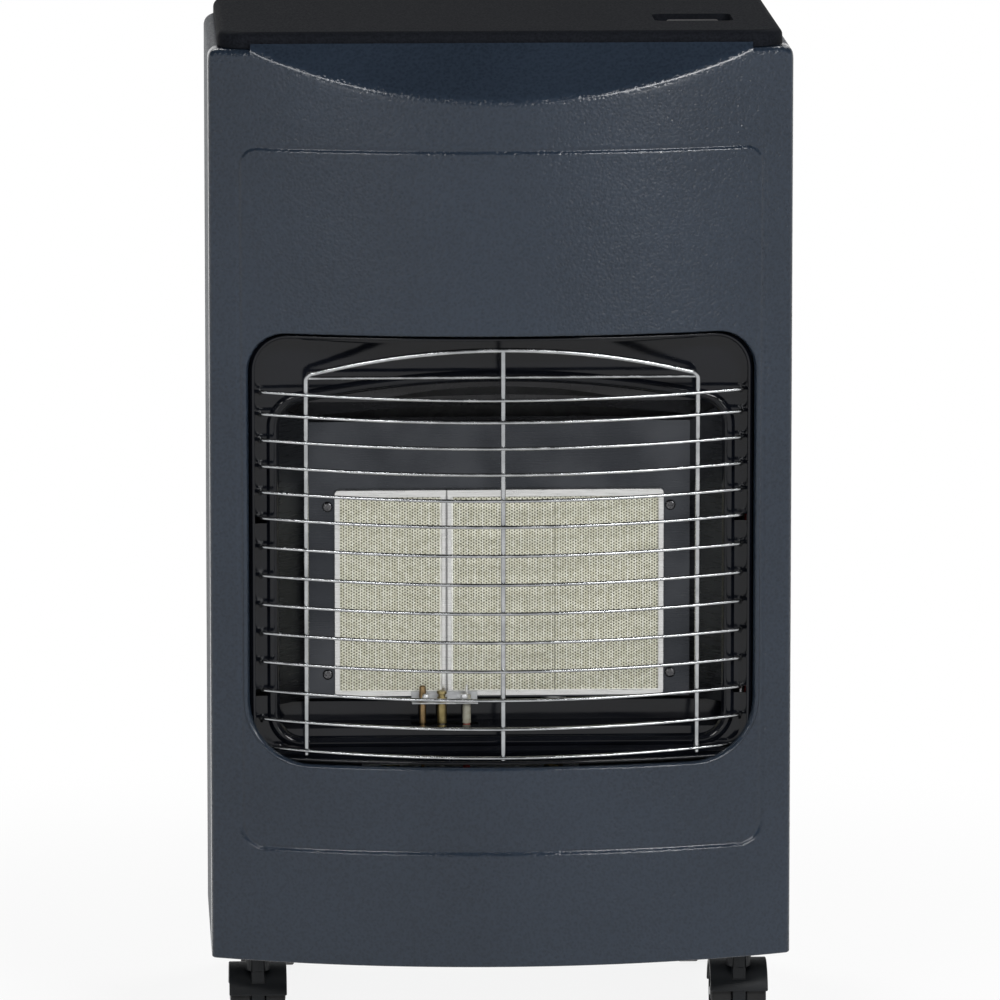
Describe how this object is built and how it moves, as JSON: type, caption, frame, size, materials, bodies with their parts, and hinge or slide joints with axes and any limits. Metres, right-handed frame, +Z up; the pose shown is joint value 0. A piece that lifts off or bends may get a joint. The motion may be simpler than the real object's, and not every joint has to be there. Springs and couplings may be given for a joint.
{
  "type": "portable gas cabinet heater",
  "caption": "Free-standing radiant gas heater: bowed steel cabinet with a guarded ceramic burner in front, a control knob in the lid, a bottle bay behind and swivel casters.",
  "frame": {"origin": "on the floor under the centre of the whole heater", "axes": "+Z up, -Y out of the front, +X to the right of someone who faces the front"},
  "size_m": [0.42, 0.365, 0.735],
  "materials": {
    "cabinet_paint": "textured powder coat",
    "top_paint": "satin paint",
    "galvanised": "galvanised sheet",
    "zinc": "zinc plated",
    "black_enamel": "gloss enamel",
    "reflector_steel": "bright annealed sheet",
    "stainless": "stainless sheet",
    "plaque_ceramic": "matt perforated ceramic",
    "insulator_ceramic": "glazed",
    "guard_chrome": "bright chromed wire",
    "brass": "machined brass",
    "copper_brass": "drawn copper",
    "valve_alloy": "die cast",
    "valve_steel": "turned steel",
    "tube_aluminium": "drawn tube",
    "lead_rubber": "silicone sleeve",
    "black_plastic": "satin moulded",
    "caster_plastic": "moulded",
    "wheel_plastic": "moulded"
  },
  "bodies": {
    "cabinet": {"front_panel": "cabinet_paint", "side_panel_left": "cabinet_paint", "side_panel_right": "cabinet_paint", "top_cover": "top_paint", "base_plate": "galvanised", "heat_shield": "galvanised", "cabinet_screws": "zinc", "firebox_surround": "black_enamel", "lower_tray": "black_enamel", "reflector": "reflector_steel", "upper_deflector": "reflector_steel", "burner_frame": "stainless", "burner_box_single": "galvanised", "burner_box_double": "galvanised", "plaque_left": "plaque_ceramic", "plaque_middle": "plaque_ceramic", "plaque_right": "plaque_ceramic", "burner_screws": "zinc", "wire_guard": "guard_chrome", "pilot_bracket": "galvanised", "pilot_burner": "brass", "electrode_insulator": "insulator_ceramic", "electrode_rod": "stainless", "thermocouple": "copper_brass", "injector_bracket": "galvanised", "injectors": "brass", "gas_valve": "valve_alloy", "valve_bracket": "galvanised", "knob_spring": "valve_steel", "hose_nozzle": "brass", "piezo_igniter": "black_plastic", "gas_tube_single": "tube_aluminium", "gas_tube_double": "tube_aluminium", "pilot_tube": "tube_aluminium", "thermocouple_lead": "copper_brass", "ignition_lead": "lead_rubber", "caster_plates": "galvanised"},
    "rear_cover": {"rear_cover": "cabinet_paint"},
    "knob_stem": {"spindle_collar": "valve_steel"},
    "knob": {"valve_spindle": "valve_steel", "control_knob": "black_plastic"},
    "caster_front_left": {"caster_front_left_hood": "caster_plastic", "caster_front_left_axle": "valve_steel"},
    "wheel_front_left_outer": {"caster_front_left_wheel_outer": "wheel_plastic"},
    "wheel_front_left_inner": {"caster_front_left_wheel_inner": "wheel_plastic"},
    "caster_front_right": {"caster_front_right_hood": "caster_plastic", "caster_front_right_axle": "valve_steel"},
    "wheel_front_right_outer": {"caster_front_right_wheel_outer": "wheel_plastic"},
    "wheel_front_right_inner": {"caster_front_right_wheel_inner": "wheel_plastic"},
    "caster_rear_left": {"caster_rear_left_hood": "caster_plastic", "caster_rear_left_axle": "valve_steel"},
    "wheel_rear_left_outer": {"caster_rear_left_wheel_outer": "wheel_plastic"},
    "wheel_rear_left_inner": {"caster_rear_left_wheel_inner": "wheel_plastic"},
    "caster_rear_right": {"caster_rear_right_hood": "caster_plastic", "caster_rear_right_axle": "valve_steel"},
    "wheel_rear_right_outer": {"caster_rear_right_wheel_outer": "wheel_plastic"},
    "wheel_rear_right_inner": {"caster_rear_right_wheel_inner": "wheel_plastic"}
  },
  "joints": [
    {"name": "rear_cover_off", "type": "slide", "parent": "cabinet", "child": "rear_cover", "axis": [0, 1, 0], "range_m": [0, 0.4]},
    {"name": "knob_push", "type": "slide", "parent": "cabinet", "child": "knob_stem", "axis": [0, 0, -1], "range_m": [0, 0.004], "stiffness_N_per_m": 1500, "springref_m": -0.003, "deforming": ["knob_spring"]},
    {"name": "knob_turn", "type": "hinge", "parent": "knob_stem", "child": "knob", "pos_m": [0.1425, -0.0535, 0.72], "axis": [0, 0, 1], "range_deg": [0, 210]},
    {"name": "caster_front_left_swivel", "type": "hinge", "parent": "cabinet", "child": "caster_front_left", "pos_m": [-0.176, -0.093, 0.045], "axis": [0, 0, 1], "continuous": true},
    {"name": "wheel_front_left_outer_roll", "type": "hinge", "parent": "caster_front_left", "child": "wheel_front_left_outer", "pos_m": [-0.176, -0.079, 0.02], "axis": [1, 0, 0], "continuous": true},
    {"name": "wheel_front_left_inner_roll", "type": "hinge", "parent": "caster_front_left", "child": "wheel_front_left_inner", "pos_m": [-0.176, -0.079, 0.02], "axis": [1, 0, 0], "continuous": true},
    {"name": "caster_front_right_swivel", "type": "hinge", "parent": "cabinet", "child": "caster_front_right", "pos_m": [0.176, -0.093, 0.045], "axis": [0, 0, 1], "continuous": true},
    {"name": "wheel_front_right_outer_roll", "type": "hinge", "parent": "caster_front_right", "child": "wheel_front_right_outer", "pos_m": [0.176, -0.079, 0.02], "axis": [1, 0, 0], "continuous": true},
    {"name": "wheel_front_right_inner_roll", "type": "hinge", "parent": "caster_front_right", "child": "wheel_front_right_inner", "pos_m": [0.176, -0.079, 0.02], "axis": [1, 0, 0], "continuous": true},
    {"name": "caster_rear_left_swivel", "type": "hinge", "parent": "cabinet", "child": "caster_rear_left", "pos_m": [-0.165, 0.11, 0.045], "axis": [0, 0, 1], "continuous": true},
    {"name": "wheel_rear_left_outer_roll", "type": "hinge", "parent": "caster_rear_left", "child": "wheel_rear_left_outer", "pos_m": [-0.165, 0.124, 0.02], "axis": [1, 0, 0], "continuous": true},
    {"name": "wheel_rear_left_inner_roll", "type": "hinge", "parent": "caster_rear_left", "child": "wheel_rear_left_inner", "pos_m": [-0.165, 0.124, 0.02], "axis": [1, 0, 0], "continuous": true},
    {"name": "caster_rear_right_swivel", "type": "hinge", "parent": "cabinet", "child": "caster_rear_right", "pos_m": [0.165, 0.11, 0.045], "axis": [0, 0, 1], "continuous": true},
    {"name": "wheel_rear_right_outer_roll", "type": "hinge", "parent": "caster_rear_right", "child": "wheel_rear_right_outer", "pos_m": [0.165, 0.124, 0.02], "axis": [1, 0, 0], "continuous": true},
    {"name": "wheel_rear_right_inner_roll", "type": "hinge", "parent": "caster_rear_right", "child": "wheel_rear_right_inner", "pos_m": [0.165, 0.124, 0.02], "axis": [1, 0, 0], "continuous": true}
  ]
}
